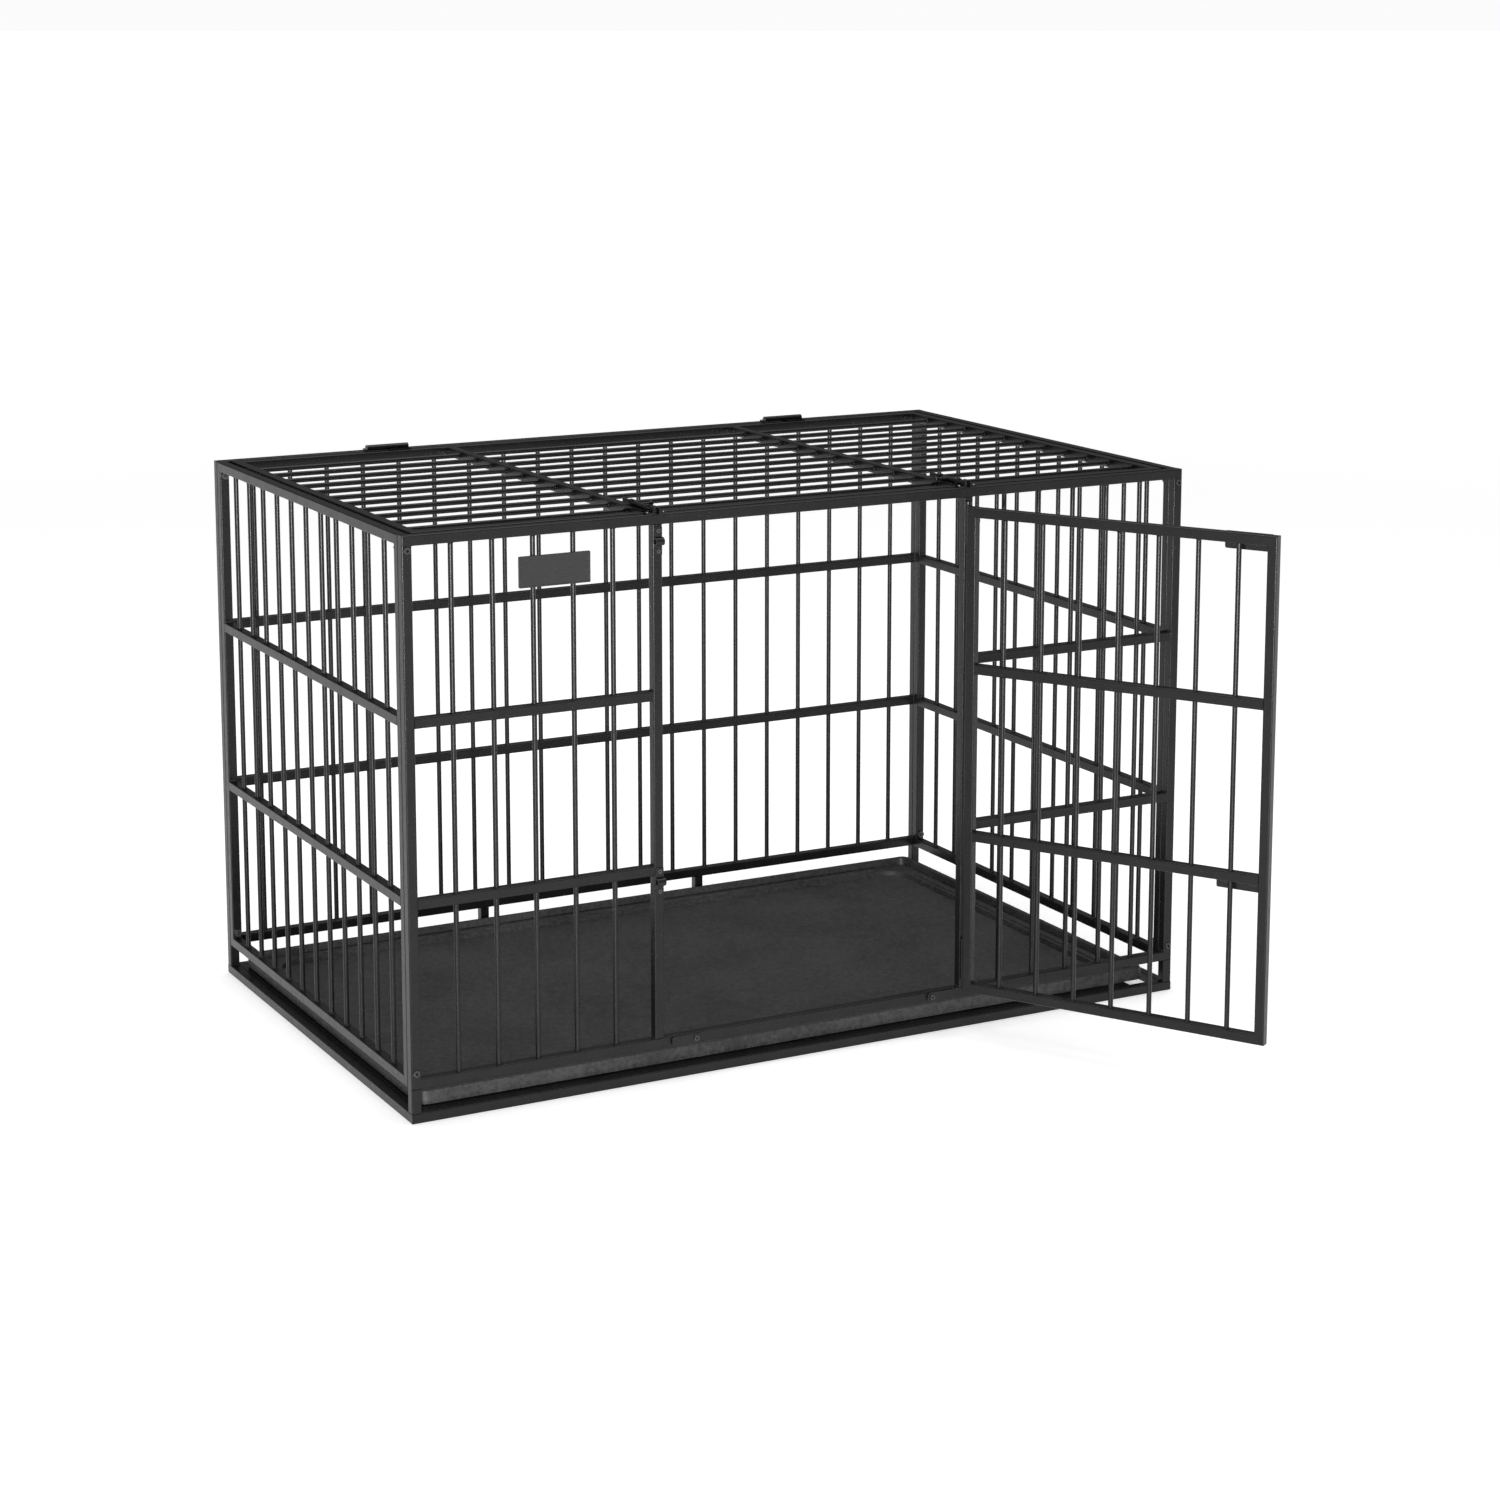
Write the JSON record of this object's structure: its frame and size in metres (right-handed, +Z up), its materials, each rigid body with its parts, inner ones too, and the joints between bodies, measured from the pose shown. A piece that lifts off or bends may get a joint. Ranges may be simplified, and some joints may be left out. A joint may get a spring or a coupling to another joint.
{
  "type": "wire dog crate",
  "caption": "Large welded steel dog crate on a raised base, with a hinged front door, a lifting roof lid, sliding barrel bolts and a slide-out tray",
  "frame": {"origin": "centre of the crate's footprint, on the floor, on the underside of the middle cross bar", "axes": "+X along the crate's length, towards the end that the door is hinged nearest to; +Y from the door side to the back; +Z up"},
  "size_m": [1.22, 1.1657, 0.8006],
  "materials": {
    "frame_coat": "satin black powder coat over welded steel tube and bar",
    "hardware_coat": "semi-gloss black coat",
    "dark_fasteners": "blackened steel, worn on the edges",
    "plate_black": "blank gloss black plate",
    "pin_steel": "plain steel",
    "tray_plastic": "matte black moulded plastic with a fine pebble grain"
  },
  "bodies": {
    "crate": {"base_ring": "frame_coat", "base_corner_posts": "frame_coat", "base_back_posts": "frame_coat", "base_cross_bars": "frame_coat", "base_tray_shelves": "frame_coat", "front_frame": "frame_coat", "door_jambs": "frame_coat", "front_mid_rails": "frame_coat", "front_bars": "frame_coat", "left_frame": "frame_coat", "left_mid_rails": "frame_coat", "left_bars": "frame_coat", "right_frame": "frame_coat", "right_mid_rails": "frame_coat", "right_bars": "frame_coat", "back_frame": "frame_coat", "back_mid_rails": "frame_coat", "back_bars": "frame_coat", "corner_bolts": "dark_fasteners", "corner_nuts": "dark_fasteners", "name_plate": "plate_black", "name_plate_strap": "plate_black", "name_plate_screws": "dark_fasteners", "door_strikes": "hardware_coat", "strike_screws": "dark_fasteners", "lid_keepers": "hardware_coat", "lid_keeper_screws": "dark_fasteners", "door_hinge_fixed": "hardware_coat", "door_hinge_jamb_screws": "dark_fasteners", "door_hinge_pins": "pin_steel", "lid_hinge_fixed": "hardware_coat", "lid_hinge_pins": "pin_steel", "tray_clip_spacers": "pin_steel", "tray_clip_screws": "dark_fasteners"},
    "door": {"door_frame": "frame_coat", "door_mid_rails": "frame_coat", "door_bars": "frame_coat", "door_hinge_leaves": "hardware_coat", "door_hinge_leaf_screws": "dark_fasteners", "door_latch_plates": "hardware_coat", "door_latch_screws": "dark_fasteners"},
    "upper_door_bolt": {"upper_door_bolt": "hardware_coat"},
    "lower_door_bolt": {"lower_door_bolt": "hardware_coat"},
    "lid": {"lid_frame": "frame_coat", "lid_dividers": "frame_coat", "lid_bars": "frame_coat", "lid_hinge_moving": "hardware_coat", "lid_latch_plates": "hardware_coat"},
    "left_lid_bolt": {"left_lid_bolt": "hardware_coat"},
    "right_lid_bolt": {"right_lid_bolt": "hardware_coat"},
    "tray": {"tray": "tray_plastic"},
    "left_tray_clip": {"left_tray_clip": "hardware_coat"},
    "right_tray_clip": {"right_tray_clip": "hardware_coat"}
  },
  "joints": [
    {"name": "door_hinge", "type": "hinge", "parent": "crate", "child": "door", "pos_m": [0.24, -0.3774, 0.4], "axis": [0, 0, 1], "range_deg": [-120.7, 55]},
    {"name": "upper_door_bolt_slide", "type": "slide", "parent": "door", "child": "upper_door_bolt", "axis": [0.5105, -0.8599, 0], "range_m": [0, 0.025]},
    {"name": "lower_door_bolt_slide", "type": "slide", "parent": "door", "child": "lower_door_bolt", "axis": [0.5105, -0.8599, 0], "range_m": [0, 0.025]},
    {"name": "lid_hinge", "type": "hinge", "parent": "crate", "child": "lid", "pos_m": [0, 0.355, 0.794], "axis": [-1, 0, 0], "range_deg": [0, 195]},
    {"name": "left_lid_bolt_slide", "type": "slide", "parent": "lid", "child": "left_lid_bolt", "axis": [0, -1, 0], "range_m": [0, 0.016]},
    {"name": "right_lid_bolt_slide", "type": "slide", "parent": "lid", "child": "right_lid_bolt", "axis": [0, -1, 0], "range_m": [0, 0.016]},
    {"name": "tray_slide", "type": "slide", "parent": "crate", "child": "tray", "axis": [0, -1, 0], "range_m": [0, 0.65]},
    {"name": "left_clip_turn", "type": "hinge", "parent": "crate", "child": "left_tray_clip", "pos_m": [-0.19, -0.3752, 0.054], "axis": [0, 1, 0], "range_deg": [-90, 90]},
    {"name": "right_clip_turn", "type": "hinge", "parent": "crate", "child": "right_tray_clip", "pos_m": [0.19, -0.3752, 0.054], "axis": [0, -1, 0], "range_deg": [-90, 90]}
  ]
}
